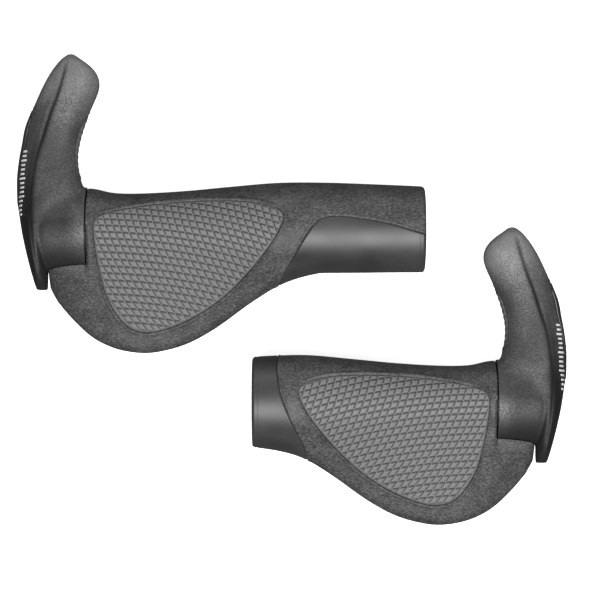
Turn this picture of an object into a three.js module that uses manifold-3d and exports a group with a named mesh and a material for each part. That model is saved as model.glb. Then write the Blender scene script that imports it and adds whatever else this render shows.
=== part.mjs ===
// A pair of ergonomic handlebar grips with bar ends, laid out on a table: a long left grip and a short right one
// that leaves room for a twist shifter. Each is a thin hard core over the bar, a rubber body with a palm wing,
// inlaid pads, and a bar end whose split clamp squeezes the core's slotted collar onto the bar with one bolt.
// Millimetres, +Z up. The origin is the middle of the pair's box, on the table.
//
// One grip is drawn in its own frame: the bar's axis is x, pointing out of the bar's end, y is forward and z is up,
// and x = 0 is the face where grip and bar end meet. The left grip is the right one in a mirror, but for its length.

import * as THREE from 'three';
import { mergeVertices } from 'three/addons/utils/BufferGeometryUtils.js';
import Module from 'manifold-3d';

const wasm = await Module();
wasm.setup();

// Clearances
const FIT = 0.3; // between pieces that touch
const RUN = 0.4; // along the bar, between the grip and the bar end that turns on it
const SEAT_RUN = 0.6; // around the clamp, where the wing's corner wraps it
const BAR_FIT = 0.05; // the bar in the core

// Bar, core and clamp
const BAR_RADIUS = 11.1; // a 22.2 mm handlebar
const CORE_WALL = 1.15;
const COLLAR_WALL = 1.9;
const COLLAR_SLOTS = 6;
const COLLAR_SLOT_WIDTH = 1.6;
const COLLAR_SLOT_ROOT = 2; // uncut part of the collar next to the grip
const CORE_INSET = 0.8; // the core stops short of the rubber's inner end
const RING_WIDTH = 14.6;
const RING_WALL = 2.85;
const RING_ROOT = 17; // the ring's outside runs on this far, into the horn's root
const COLLAR_SHORT = 1; // the collar stops this far before the clamp's bore does
const BAR_POCKET = 4.5; // how far the bar's end runs on past the collar
const RELIEF_WIDTH = 1.2; // slot that frees the clamp's jaw from the closed end
const SLIT_WIDTH = 1.6;
const SLIT_ANGLE = -20 * Math.PI / 180; // of the clamp's slit, below forward

// Clamp bolt, M5
const BOLT_RADIUS = 2.4;
const BOLT_HOLE_RADIUS = BOLT_RADIUS + 0.5;
const BOLT_REACH = 8.5; // past the slit, into the insert
const BOLT_HEAD_RADIUS = BOLT_RADIUS + 1.85;
const BOLT_HEAD_HEIGHT = 3.5;
const BOLT_X = RUN + 0.56 * RING_WIDTH;
const HEX_RADIUS = 2.3; // across the corners of the 4 mm key's socket
const HEX_DEPTH = 2.2;
const WASHER_RADIUS = BOLT_RADIUS + 2.5;
const WASHER_THICKNESS = 0.9;
const EAR_RADIUS = BOLT_RADIUS + 3.2;
const EAR_DEPTH = 3.5; // from the slit's middle to the washer's seat
const INSERT_RADIUS = BOLT_RADIUS + 1.1;
const INSERT_LENGTH = 7.6;

// Inlays
const PALM_PAD_THICKNESS = 1.4;
const FINGER_PAD_THICKNESS = 1.1;
const END_PANEL_THICKNESS = 1.2;
const HORN_PAD_THICKNESS = 1.2;
const HORN_PAD_PROUD = 0.35;

// Where everything rests: the lowest point of the clamp's end, the wing and the sleeve's inner end
const AXIS_HEIGHT = 16.8;

// Layout of the pair
const GRIP_LENGTH = { left: 131, right: 94 };
const HALF_SPREAD = 79; // from the middle to each grip's outer face
const AXIS_Y = { left: 24.1, right: -43 };

const coreRadius = BAR_RADIUS + BAR_FIT;
const collarOuter = coreRadius + COLLAR_WALL;
const coreOuter = coreRadius + CORE_WALL;
const ringInner = collarOuter + FIT;
const ringOuter = ringInner + RING_WALL;
const ringEnd = RUN + RING_WIDTH;
const collarLength = ringEnd - COLLAR_SHORT;
const boltDistance = ringInner + INSERT_RADIUS + FIT + 1.05; // leaves a 1.05 mm wall to the clamp's bore

const MATERIALS = {
  body_rubber: new THREE.MeshStandardMaterial({ color: 0x3c3c3d, roughness: 0.62, metalness: 0 }),
  pad_rubber: new THREE.MeshStandardMaterial({ color: 0x77787a, roughness: 0.7, metalness: 0 }),
  smooth_rubber: new THREE.MeshStandardMaterial({ color: 0x48494a, roughness: 0.42, metalness: 0 }),
  core_plastic: new THREE.MeshStandardMaterial({ color: 0x1d1d1f, roughness: 0.5, metalness: 0 }),
  bar_end_composite: new THREE.MeshStandardMaterial({ color: 0x333334, roughness: 0.6, metalness: 0 }),
  badge_plastic: new THREE.MeshStandardMaterial({ color: 0x262627, roughness: 0.35, metalness: 0 }),
  bolt_steel: new THREE.MeshStandardMaterial({ color: 0x4a4b4e, roughness: 0.35, metalness: 1 }),
  insert_brass: new THREE.MeshStandardMaterial({ color: 0xb08d4a, roughness: 0.4, metalness: 1 }),
};

// ---------------------------------------------------------------- solids

function toSolid(geometry) {
  const bare = geometry.clone();
  for (const name of Object.keys(bare.attributes)) if (name !== 'position') bare.deleteAttribute(name);
  const merged = mergeVertices(bare, 1e-4);
  const vertProperties = new Float32Array(merged.attributes.position.array);
  const triVerts = new Uint32Array(merged.index.array);
  if (signedVolume(merged) < 0) triVerts.reverse();
  return new wasm.Manifold(new wasm.Mesh({ numProp: 3, vertProperties, triVerts }));
}

function signedVolume({ attributes: { position }, index }) {
  const [a, b, c] = [new THREE.Vector3(), new THREE.Vector3(), new THREE.Vector3()];
  let sum = 0;
  for (let i = 0; i < index.count; i += 3) {
    a.fromBufferAttribute(position, index.getX(i));
    b.fromBufferAttribute(position, index.getX(i + 1));
    c.fromBufferAttribute(position, index.getX(i + 2));
    sum += a.dot(b.cross(c));
  }
  return sum / 6;
}

const solidOf = (shape) => (shape instanceof THREE.BufferGeometry ? toSolid(shape) : shape);
const joined = (first, ...others) => others.reduce((all, one) => all.add(solidOf(one)), solidOf(first));
const cut = (first, ...others) => others.reduce((all, one) => all.subtract(solidOf(one)), solidOf(first));
const common = (first, ...others) => others.reduce((all, one) => all.intersect(solidOf(one)), solidOf(first));

function toGeometry(shape) {
  const solid = solidOf(shape);
  const { numProp, numVert, vertProperties, triVerts } = solid.getMesh();
  const position = new Float32Array(numVert * 3);
  for (let i = 0; i < numVert; i++) position.set(vertProperties.subarray(i * numProp, i * numProp + 3), i * 3);
  const geometry = new THREE.BufferGeometry();
  geometry.setAttribute('position', new THREE.BufferAttribute(position, 3));
  geometry.setIndex(new THREE.BufferAttribute(triVerts, 1));
  geometry.computeVertexNormals();
  return geometry;
}

// A surface through rings that have the same number of points, closed by a fan at each end.
function loft(rings) {
  const n = rings[0].length;
  const points = rings.flat();
  const index = [];
  for (let r = 0; r + 1 < rings.length; r++) {
    for (let i = 0; i < n; i++) {
      const [a, b] = [r * n + i, r * n + (i + 1) % n];
      index.push(a, b, b + n, a, b + n, a + n);
    }
  }
  for (const [ring, first] of [[rings[0], 0], [rings.at(-1), (rings.length - 1) * n]]) {
    const centre = ring.reduce((sum, p) => sum.add(p), new THREE.Vector3()).divideScalar(n);
    const hub = points.push(centre) - 1;
    for (let i = 0; i < n; i++) {
      const [a, b] = [first + i, first + (i + 1) % n];
      if (first) index.push(hub, a, b);
      else index.push(hub, b, a);
    }
  }
  const geometry = new THREE.BufferGeometry().setFromPoints(points);
  geometry.setIndex(index);
  return geometry;
}

// A profile of [x, radius] pairs turned about the x axis. It starts and ends on the axis, or closes on itself.
function turned(profile, segments = 36) {
  return new THREE.LatheGeometry(profile.map(([x, r]) => new THREE.Vector2(r, x)), segments).rotateZ(-Math.PI / 2);
}

function rod(x0, x1, radius, segments) {
  return turned([[x0, 0], [x0, radius], [x1, radius], [x1, 0]], segments);
}

// An outline in x and y, extruded up from z0 to z1.
function plate(outline, z0, z1) {
  const shape = new THREE.Shape(outline.map(([x, y]) => new THREE.Vector2(x, y)));
  return new THREE.ExtrudeGeometry(shape, { depth: z1 - z0, bevelEnabled: false }).translate(0, 0, z0);
}

// An outline in y and z, extruded from x0 to x1.
function plateAcross(outline, x0, x1) {
  const shape = new THREE.Shape(outline.map(([y, z]) => new THREE.Vector2(y, z)));
  const geometry = new THREE.ExtrudeGeometry(shape, { depth: x1 - x0, bevelEnabled: false });
  const axes = new THREE.Matrix4().makeBasis(
    new THREE.Vector3(0, 1, 0), new THREE.Vector3(0, 0, 1), new THREE.Vector3(1, 0, 0));
  return geometry.applyMatrix4(axes).translate(x0, 0, 0);
}

function box(x0, x1, y0, y1, z0, z1) {
  return plate([[x0, y0], [x1, y0], [x1, y1], [x0, y1]], z0, z1);
}

// ---------------------------------------------------------------- curves

// y as a smooth function of x through [x, y] points.
function through(points) {
  const slope = (i) => {
    const [a, b] = [points[Math.max(i - 1, 0)], points[Math.min(i + 1, points.length - 1)]];
    return (b[1] - a[1]) / (b[0] - a[0]);
  };
  return (x) => {
    const last = points.length - 2;
    const i = Math.max(0, Math.min(last, points.findIndex((p) => p[0] > x) - 1 + (x >= points.at(-1)[0] ? last + 2 : 0)));
    const [[x0, y0], [x1, y1]] = [points[i], points[i + 1]];
    const width = x1 - x0;
    const t = Math.max(0, Math.min(1, (x - x0) / width));
    const [t2, t3] = [t * t, t * t * t];
    return y0 * (2 * t3 - 3 * t2 + 1) + y1 * (3 * t2 - 2 * t3)
      + width * (slope(i) * (t3 - 2 * t2 + t) + slope(i + 1) * (t3 - t2));
  };
}

// A smooth outline through plan points, as count points.
function smooth(points, count, closed) {
  const curve = new THREE.CatmullRomCurve3(points.map(([x, y]) => new THREE.Vector3(x, y, 0)), closed, 'centripetal');
  const found = curve.getSpacedPoints(count).map((p) => [p.x, p.y]);
  return closed ? found.slice(0, -1) : found;
}

// A closed outline, wound anticlockwise, grown by a distance.
function grown(outline, distance) {
  return outline.map(([x, y], i) => {
    const [ax, ay] = outline.at(i - 1);
    const [bx, by] = outline[(i + 1) % outline.length];
    const length = Math.hypot(bx - ax, by - ay);
    return [x + distance * (by - ay) / length, y - distance * (bx - ax) / length];
  });
}

const mix = (a, b, t) => a + (b - a) * t;
const range = (count) => Array.from({ length: count }, (_, i) => i);

// ---------------------------------------------------------------- the grip's outer form

// Distances from the bar's axis, against the distance s inward from the grip's outer face.
const FRONT = [[-15, 16], [0, 16], [3, 15.9], [9, 14.3], [20, 14], [38, 15], [56, 16.7], [74, 18.2]];
const REAR = [[-15, 22.8], [-12, 28], [-8, 32.8], [0, 40.6], [6, 44.1], [12, 46.3], [20, 47.5], [26, 47.2],
  [38, 44], [50, 37.5], [62, 29], [74, 21.8]];
const TOP = [[-15, 16.4], [0, 16.4], [9, 15.7], [20, 15.7], [38, 16.3], [56, 16.9], [74, 17.2]];
const BOTTOM = [[-15, 16.2], [0, 16.2], [9, 15.4], [20, 15.2], [38, 15.4], [56, 15.8], [74, 16.2]];
// Past the wing, the sleeve's distances are given against the share of its own length up to its inner end.
const WING_END = 84;
const SLEEVE_FRONT = { left: [[0.17, 18.3], [0.55, 17.7]], right: [] };
const SLEEVE_REAR = { left: [[0, 18.3], [0.3, 15.9], [0.55, 15.8]], right: [[0, 18.9]] };
const END_RADIUS = { left: 16.8, right: 17.5 };

// The wing's edge is a round of this radius, whose middle is this far below the bar's axis.
const WING_EDGE = [[-15, 5.4], [0, 5.6], [40, 5.6], [56, 7.6], [68, 11], [78, 14.2], [88, 16]];
const WING_DROP = [[-15, 7], [-8, 9], [0, 10.6], [10, 11.1], [20, AXIS_HEIGHT - 5.6], [40, AXIS_HEIGHT - 5.6],
  [56, 8.6], [68, 4.8], [78, 1.6], [88, 0]];
const EDGE_ROUND = 1; // at the sleeve's inner end and the wing's outer corner

function gripForm(hand) {
  const length = GRIP_LENGTH[hand];
  const alongSleeve = (points) => points.map(([share, y]) => [mix(WING_END, length, share), y]);
  const last = (radius) => [[length, radius]];
  return {
    length,
    front: through([...FRONT, ...alongSleeve(SLEEVE_FRONT[hand]), ...last(END_RADIUS[hand])]),
    rear: through([...REAR, ...alongSleeve(SLEEVE_REAR[hand]), ...last(END_RADIUS[hand])]),
    top: through([...TOP, ...last(END_RADIUS[hand])]),
    bottom: through([...BOTTOM, ...last(AXIS_HEIGHT)]),
    edge: through(WING_EDGE),
    drop: through(WING_DROP),
  };
}

// One section of the grip as [y, z] points, anticlockwise seen from the bar's end: over the sleeve, down the
// wing's top, round its edge, back along the arched underside and up the sleeve's front.
const STEPS = { over: 8, down: 4, edge: 5, arch: 4, under: 7 };

function gripSection(form, s) {
  const [front, top, bottom, reach] = [form.front(s), form.top(s), form.bottom(s), form.rear(s)];
  const edge = Math.min(form.edge(s), reach);
  const middle = [edge - reach, -form.drop(s)];
  const away = Math.hypot(...middle);
  const towards = Math.atan2(middle[1], middle[0]) + 2 * Math.PI;
  const lean = Math.acos(Math.min(1, Math.max(0, (top - edge) / Math.max(away, 1e-6))));
  const leave = away < 1 ? Math.PI : Math.max(Math.PI / 2, towards - lean);
  const wing = Math.min(1, Math.max(0, (reach - bottom) / 14));
  const turnBack = mix(1.46, 1.62, wing) * Math.PI;
  const rejoin = mix(1.49, 1.34, wing) * Math.PI;
  const onSleeve = (angle) => [
    (Math.cos(angle) > 0 ? front : angle < Math.PI ? top : bottom) * Math.cos(angle),
    (Math.sin(angle) > 0 ? top : bottom) * Math.sin(angle),
  ];
  const onEdge = (angle) => [middle[0] + edge * Math.cos(angle), middle[1] + edge * Math.sin(angle)];
  const points = [];
  for (const i of range(STEPS.over)) points.push(onSleeve(leave * i / STEPS.over));
  const [start, stop] = [onSleeve(leave), onEdge(leave)];
  for (const i of range(STEPS.down)) {
    const t = i / STEPS.down;
    points.push([mix(start[0], stop[0], t), mix(start[1], stop[1], t)]);
  }
  for (const i of range(STEPS.edge)) points.push(onEdge(mix(leave, turnBack, i / STEPS.edge)));
  const arch = new THREE.CubicBezierCurve(...archPoints(onEdge(turnBack), turnBack, onSleeve(rejoin), rejoin));
  for (const i of range(STEPS.arch)) points.push(arch.getPoint(i / STEPS.arch).toArray());
  for (const i of range(STEPS.under)) points.push(onSleeve(mix(rejoin, 2 * Math.PI, i / STEPS.under)));
  return points;
}

// Bezier points that leave one round and meet another along their tangents.
function archPoints(from, fromAngle, to, toAngle) {
  const pull = Math.hypot(to[0] - from[0], to[1] - from[1]) / 3;
  return [
    new THREE.Vector2(...from),
    new THREE.Vector2(from[0] - pull * Math.sin(fromAngle), from[1] + pull * Math.cos(fromAngle)),
    new THREE.Vector2(to[0] + pull * Math.sin(toAngle), to[1] - pull * Math.cos(toAngle)),
    new THREE.Vector2(...to),
  ];
}

// The grip's outer form, set in by a distance.
function gripSolid(form, inset) {
  const stations = [-15, -14, -11, -6, 0, 5, 11, 18, 26, 35, 44, 53, 61, 69, 77, 85];
  for (let s = 95; s < form.length - 6; s += 10) stations.push(s);
  const kept = stations.filter((s) => s < form.length - 4);
  const rings = [...kept, form.length - EDGE_ROUND, form.length].map((s) => {
    const ended = s === -15 || s === form.length ? EDGE_ROUND : 0;
    return grown(gripSection(form, s), -inset - ended).map(([y, z]) => new THREE.Vector3(-s, y, z));
  });
  return loft(rings);
}

// ---------------------------------------------------------------- the grip's pieces

// Outlines in plan, as [s, y].
const PALM_PAD = [[3.2, 0.3], [4.2, 2.8], [6.2, 4.3], [13.3, 6.5], [26, 8.8], [41, 10.1], [57, 10.1], [67, 9],
  [74.6, 6.2], [76.3, 3.6], [74.8, -1.6], [70.3, -9.1], [62.3, -18.2], [52.2, -27.4],
  [41.2, -34.4], [31, -38.7], [24, -40.2], [18, -39.4], [13, -35.8], [7.9, -27.7],
  [5.3, -18.6], [3.8, -9.4]];
const FINGER_PAD = [[12, -1], [18, 7], [36, 9.5], [54, 8.5], [66, 3], [68, -2], [60, -7], [38, -8.5], [18, -6.5]];
const LONG_SEAM = [[72.5, -24.5], [76.6, -17.3], [79.5, -12.8], [84.3, -4.6]];
const LONG_SEAM_SLEEVE = [[0.074, 0], [0.134, 2.4], [0.2, 3.4], [0.31, 3.5], [0.46, 2.7], [0.664, 1], [1.06, -4.4]]; // by share of the sleeve
const SHORT_SEAM = [[71.8, -27], [73.7, -18], [77.4, -11], [80.8, -3.3], [83.1, 3.6], [84.1, 12], [83.7, 21]];
const WING_SLOPE = 0.27; // of the plane through the wing's middle: the palm pad is above it, the finger pad below

function inPlan(outline) {
  const flipped = outline.map(([s, y]) => [-s, y]);
  return THREE.ShapeUtils.area(flipped.map(([x, y]) => ({ x, y }))) > 0 ? flipped : flipped.reverse();
}

function sealOutline(hand) {
  const far = 60;
  const beyond = GRIP_LENGTH[hand] + far;
  if (hand === 'right') {
    return [...smooth(SHORT_SEAM, 9, false), [83.4, far], [beyond, far], [beyond, -far], [71.5, -far]];
  }
  const sleeve = LONG_SEAM_SLEEVE.map(([share, y]) => [mix(WING_END, GRIP_LENGTH.left, share), y]);
  return [...smooth([...LONG_SEAM, ...sleeve], 14, false), [beyond, -2], [beyond, -far], [73.2, -far]];
}

// Sheared so that level faces lie along the wing.
function sloped(geometry) {
  return geometry.applyMatrix4(new THREE.Matrix4().set(1, 0, 0, 0, 0, 1, 0, 0, 0, WING_SLOPE, 1, 0, 0, 0, 0, 1));
}

// The pieces of rubber: the body, and what is inlaid in its skin.
function rubberPieces(hand) {
  const form = gripForm(hand);
  const whole = gripSolid(form, 0);
  const height = 2 * AXIS_HEIGHT;
  const inlay = (outline, thickness, z0, z1) => ({
    piece: cut(common(whole, sloped(plate(outline, z0, z1))), gripSolid(form, thickness)),
    recess: cut(sloped(plate(grown(outline, FIT), z0, z1)), gripSolid(form, thickness + FIT)),
  });
  const palm = inlay(inPlan(smooth(PALM_PAD, 32, true)), PALM_PAD_THICKNESS, 0, height);
  const finger = inlay(inPlan(smooth(FINGER_PAD, 20, true)), FINGER_PAD_THICKNESS, -height, 0);
  const panel = inlay(inPlan(sealOutline(hand)), END_PANEL_THICKNESS, -2 * height, 2 * height);
  const bore = rod(-form.length - 1, RING_ROOT, coreOuter + FIT);
  const seat = rod(-FIT, RING_ROOT, ringOuter + SEAT_RUN, 40);
  return {
    grip_body: [cut(whole, bore, seat, palm.recess, finger.recess, panel.recess), 'body_rubber'],
    palm_pad: [palm.piece, 'pad_rubber'],
    finger_pad: [finger.piece, 'pad_rubber'],
    end_panel: [cut(panel.piece, bore), 'smooth_rubber'],
  };
}

// The hard tube over the bar, with the slotted collar that the clamp squeezes.
function core(hand) {
  const inner = CORE_INSET - GRIP_LENGTH[hand];
  const profile = [
    [inner, coreRadius], [inner, coreOuter], [-FIT, coreOuter], [0, coreOuter + FIT], [0, collarOuter],
    [collarLength - 0.6, collarOuter], [collarLength, collarOuter - 0.6], [collarLength, coreRadius],
  ];
  const half = COLLAR_SLOT_WIDTH / 2;
  const slots = range(COLLAR_SLOTS).map((i) => box(
    COLLAR_SLOT_ROOT, collarLength + 1, -half, half, coreRadius - 2, collarOuter + 2,
  ).rotateX((i + 0.5) * 2 * Math.PI / COLLAR_SLOTS));
  return cut(turned([...profile, profile[0]]), ...slots);
}

// ---------------------------------------------------------------- the bar end

// The horn's outer and inner edges along x, and its top and bottom, against y.
const HORN_OUTER = [[-23.6, 18.6], [-20, 20.7], [-14, 22.5], [-8, 24], [0, 25.7], [9, 26.9], [19, 26.9],
  [26.5, 26.1], [32.3, 25], [38.2, 23.8], [43.9, 21.5], [49.7, 18.9], [55.5, 15.9], [61, 12.3],
  [64, 9.7], [66.2, 7]];
const HORN_INNER = [[-23.6, 15.4], [-6, 15.4], [4, 12], [10, 5], [14.6, 1], [17.5, 2.2], [23.5, 3.6], [29.4, 3.7],
  [35.2, 2.5], [41, 0.5], [46.6, -2.1], [52.3, -4.8], [55.2, -5.4], [58, -4.7], [61, -2.7],
  [64.1, 1.7], [66.2, 4.6]];
const HORN_TOP = [[-23.6, 2.6], [-20, 9], [-16, 12.2], [-8, 15.4], [1, 16.6], [9, 16.6], [17, 15.4], [25, 14.6],
  [33, 14.8], [42, 17], [51.5, 20], [58, 21.4], [63, 20.2], [66.2, 16.8]];
const HORN_BOTTOM = [[-23.6, -2.6], [-20, -8.8], [-16, -11.8], [-8, -15.2], [0, -AXIS_HEIGHT], [5, -16], [12, -11],
  [18, -5.5], [25, -3], [33, -1.4], [42, 0.6], [51.5, 3.6], [58, 7], [63, 10.6], [66.2, 14]];
const HORN_STATIONS = [-23.6, -22.2, -18, -11, -4, 3, 9, 13, 17, 21, 27, 34, 40, 46.5, 52, 57, 61, 64, 65.6, 66.2];
const HORN_SQUARENESS = 2.5; // exponent of the sections' superellipse
const HORN_SIDES = 18;

const hornOuter = through(HORN_OUTER);
const hornInner = through(HORN_INNER);
const hornTop = through(HORN_TOP);
const hornBottom = through(HORN_BOTTOM);

function hornSolid(growth) {
  const power = (value) => Math.sign(value) * Math.abs(value) ** (2 / HORN_SQUARENESS);
  return loft(HORN_STATIONS.map((y) => {
    const middle = [(hornOuter(y) + hornInner(y)) / 2, (hornTop(y) + hornBottom(y)) / 2];
    const half = [(hornOuter(y) - hornInner(y)) / 2 + growth, (hornTop(y) - hornBottom(y)) / 2 + growth];
    return range(HORN_SIDES).map((i) => {
      const angle = -2 * Math.PI * i / HORN_SIDES;
      return new THREE.Vector3(middle[0] + half[0] * power(Math.cos(angle)), y, middle[1] + half[1] * power(Math.sin(angle)));
    });
  }));
}

// The bolt's frame: its z axis points out of the head, and z = 0 is the middle of the clamp's slit.
function boltFrame() {
  const out = new THREE.Vector3(0, Math.sin(SLIT_ANGLE), -Math.cos(SLIT_ANGLE));
  const side = new THREE.Vector3(1, 0, 0);
  const frame = new THREE.Matrix4().makeBasis(side, new THREE.Vector3().crossVectors(out, side), out);
  return frame.setPosition(BOLT_X, boltDistance * Math.cos(SLIT_ANGLE), boltDistance * Math.sin(SLIT_ANGLE));
}

// A solid turned about the bolt's axis, from a profile of [z, radius] pairs.
function boltTurned(profile, segments = 20) {
  return turned(profile, segments).rotateY(-Math.PI / 2).applyMatrix4(boltFrame());
}

// Ovals in y and z for the inlays in the horn's inner and outer sides, rising with the horn.
const HORN_PAD_SPAN = [20, 44];
const HORN_PAD_HALF = 5.4;
const HORN_PAD_DROP = 2.2; // below the middle of the horn's side
const BADGE_SPAN = [8, 46];
const BADGE_HALF = 4.4;

function oval([from, to], half, drop = 0, sides = 5) {
  const middle = (y) => (hornTop(y) + hornBottom(y)) / 2 - drop;
  const points = [];
  for (const [at, turn] of [[to - half, -0.5], [from + half, 0.5]]) {
    for (const i of range(sides + 1)) {
      const angle = (turn + i / sides) * Math.PI;
      points.push([at + half * Math.cos(angle), middle(at) + half * Math.sin(angle)]);
    }
  }
  return points;
}

function barEndPieces() {
  const horn = hornSolid(0);
  const proud = hornSolid(HORN_PAD_PROUD);
  const under = hornSolid(HORN_PAD_PROUD - HORN_PAD_THICKNESS);
  const below = hornSolid(HORN_PAD_PROUD - HORN_PAD_THICKNESS - FIT);
  const inlay = (outline, x0, x1) => ({
    piece: cut(common(proud, plateAcross(outline, x0, x1)), under),
    recess: cut(plateAcross(grown(outline, FIT), x0, x1), below),
  });
  const pad = inlay(oval(HORN_PAD_SPAN, HORN_PAD_HALF, HORN_PAD_DROP), -12, 9);
  const badge = inlay(oval(BADGE_SPAN, BADGE_HALF), 17, 36);

  const ring = turned([[RUN, 0], [RUN, ringOuter - 0.6], [RUN + 0.6, ringOuter], [RING_ROOT, ringOuter], [RING_ROOT, 0]], 40);
  const ear = boltTurned([[-3, 0], [-3, EAR_RADIUS], [EAR_DEPTH, EAR_RADIUS], [EAR_DEPTH, 0]]);
  const collarBore = rod(-1, ringEnd, ringInner);
  const barPocket = rod(ringEnd - 1, ringEnd + BAR_POCKET, coreRadius);
  const slit = box(-1, ringEnd, 5, boltDistance + EAR_RADIUS + 4, -SLIT_WIDTH / 2, SLIT_WIDTH / 2)
    .rotateX(SLIT_ANGLE);
  const boltHole = boltTurned([[-SLIT_WIDTH, 0], [-SLIT_WIDTH, BOLT_HOLE_RADIUS], [EAR_DEPTH + 9, BOLT_HOLE_RADIUS],
    [EAR_DEPTH + 9, 0]]);
  const headRoom = boltTurned([[EAR_DEPTH, 0], [EAR_DEPTH, EAR_RADIUS + FIT], [EAR_DEPTH + 9, EAR_RADIUS + FIT],
    [EAR_DEPTH + 9, 0]]);
  const insertEnd = -SLIT_WIDTH / 2 - INSERT_LENGTH - FIT;
  const insertPocket = boltTurned([[insertEnd - 1.5, 0], [insertEnd - 1.5, BOLT_HOLE_RADIUS], [insertEnd, BOLT_HOLE_RADIUS],
    [insertEnd, INSERT_RADIUS + FIT], [0, INSERT_RADIUS + FIT], [0, 0]]);
  const shell = cut(joined(horn, ring, ear), collarBore, barPocket, reliefSlot(), slit, headRoom, boltHole,
    insertPocket, pad.recess, badge.recess);
  return {
    bar_end: [shell, 'bar_end_composite'],
    bar_end_pad: [pad.piece, 'pad_rubber'],
    bar_end_badge: [badge.piece, 'badge_plastic'],
    clamp_insert: [clampInsert(), 'insert_brass'],
  };
}

// Frees the clamp's lower jaw from the closed end, from the slit round to the back.
function reliefSlot() {
  const [outer, sides] = [30, 16];
  const [from, to] = [SLIT_ANGLE, -Math.PI - SLIT_ANGLE * 1.5];
  const arc = range(sides + 1).map((i) => {
    const angle = mix(from, to, i / sides);
    return [outer * Math.cos(angle), outer * Math.sin(angle)];
  });
  return cut(plateAcross([[0, 0], ...arc], ringEnd - 0.01, ringEnd + RELIEF_WIDTH),
    rod(ringEnd - 1, ringEnd + RELIEF_WIDTH + 1, ringInner - 1));
}

function clampInsert() {
  const near = -SLIT_WIDTH / 2 - 0.2;
  const far = near - INSERT_LENGTH + 0.2;
  const inner = BOLT_RADIUS + FIT + 0.05;
  return boltTurned([[near, inner], [near, INSERT_RADIUS], [far, INSERT_RADIUS], [far, inner], [near, inner]], 16);
}

function clampWasher() {
  const near = EAR_DEPTH + FIT;
  const far = near + WASHER_THICKNESS;
  return boltTurned([[near, BOLT_HOLE_RADIUS], [near, WASHER_RADIUS], [far, WASHER_RADIUS], [far, BOLT_HOLE_RADIUS],
    [near, BOLT_HOLE_RADIUS]], 20);
}

function clampBolt() {
  const seat = EAR_DEPTH + WASHER_THICKNESS + 2 * FIT;
  const face = seat + BOLT_HEAD_HEIGHT;
  const turnedPart = boltTurned([[-BOLT_REACH, 0], [-BOLT_REACH, BOLT_RADIUS - 0.5], [0.5 - BOLT_REACH, BOLT_RADIUS],
    [seat, BOLT_RADIUS], [seat, BOLT_HEAD_RADIUS], [face - 0.5, BOLT_HEAD_RADIUS], [face, BOLT_HEAD_RADIUS - 0.5],
    [face, 0]]);
  const socket = boltTurned([[face - HEX_DEPTH, 0], [face - HEX_DEPTH, HEX_RADIUS], [face + 1, HEX_RADIUS],
    [face + 1, 0]], 6);
  return cut(turnedPart, socket);
}

// ---------------------------------------------------------------- the pair

function grip(hand) {
  const group = new THREE.Group();
  const pieces = {
    grip_core: [core(hand), 'core_plastic'],
    ...rubberPieces(hand),
    ...barEndPieces(),
    clamp_washer: [clampWasher(), 'bolt_steel'],
    clamp_bolt: [clampBolt(), 'bolt_steel'],
  };
  for (const [name, [solid, material]] of Object.entries(pieces)) {
    const mesh = new THREE.Mesh(toGeometry(solid), MATERIALS[material]);
    mesh.name = `${hand}_${name}`;
    group.add(mesh);
  }
  const side = hand === 'left' ? -1 : 1;
  group.scale.x = side;
  group.position.set(side * HALF_SPREAD, AXIS_Y[hand], AXIS_HEIGHT);
  return group;
}

const pair = new THREE.Group();
pair.add(grip('left'), grip('right'));

export default pair;
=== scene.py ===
"""A pair of ergonomic handlebar grips with bar ends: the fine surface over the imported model.

Shapes are drawn in millimetres in one grip's own frame: the bar's axis is x, pointing out of the bar's end, y is
forward, z is up, and x = 0 is the face where grip and bar end meet. s is the distance inward, -x. The left grip is
the right one in a mirror, but for its length.
"""

import math

import bmesh
import bpy
import numpy as np
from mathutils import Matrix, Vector


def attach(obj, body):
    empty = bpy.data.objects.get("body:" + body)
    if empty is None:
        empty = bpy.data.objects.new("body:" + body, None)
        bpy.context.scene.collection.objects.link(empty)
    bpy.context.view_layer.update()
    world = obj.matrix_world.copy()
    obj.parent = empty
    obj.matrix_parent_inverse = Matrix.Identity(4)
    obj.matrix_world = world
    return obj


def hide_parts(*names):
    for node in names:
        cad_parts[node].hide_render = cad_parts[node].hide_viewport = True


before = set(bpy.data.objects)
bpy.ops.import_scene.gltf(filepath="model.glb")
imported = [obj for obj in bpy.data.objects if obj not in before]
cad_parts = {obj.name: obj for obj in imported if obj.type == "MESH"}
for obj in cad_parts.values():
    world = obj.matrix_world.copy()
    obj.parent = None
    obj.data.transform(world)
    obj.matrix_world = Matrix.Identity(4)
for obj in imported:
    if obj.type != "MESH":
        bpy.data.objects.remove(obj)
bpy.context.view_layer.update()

HANDS = ("left", "right")
SIDE = {"left": -1, "right": 1}

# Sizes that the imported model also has
FIT = 0.3
RUN = 0.4
SEAT_RUN = 0.6
CORE_RADIUS = 11.15
CORE_OUTER = 12.3
RING_INNER = 13.35
RING_OUTER = 16.2
RING_END = 15.0
RING_ROOT = 17.0
BAR_POCKET = 4.5
RELIEF_WIDTH = 1.2
SLIT_WIDTH = 1.6
SLIT_ANGLE = math.radians(-20)
BOLT_RADIUS = 2.4
BOLT_HOLE_RADIUS = 2.9
BOLT_HEAD_RADIUS = 4.25
BOLT_HEAD_HEIGHT = 3.5
BOLT_REACH = 8.5
BOLT_X = 8.576
HEX_RADIUS = 2.3
HEX_DEPTH = 2.2
WASHER_RADIUS = 4.9
WASHER_THICKNESS = 0.9
EAR_RADIUS = 5.6
EAR_DEPTH = 3.5
INSERT_RADIUS = 3.5
INSERT_LENGTH = 7.6
BOLT_DISTANCE = 18.2
AXIS_HEIGHT = 16.8
GRIP_LENGTH = {"left": 131.0, "right": 94.0}
HALF_SPREAD = 79.0
AXIS_Y = {"left": 24.1, "right": -43.0}


# ---------------------------------------------------------------- curves


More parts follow.
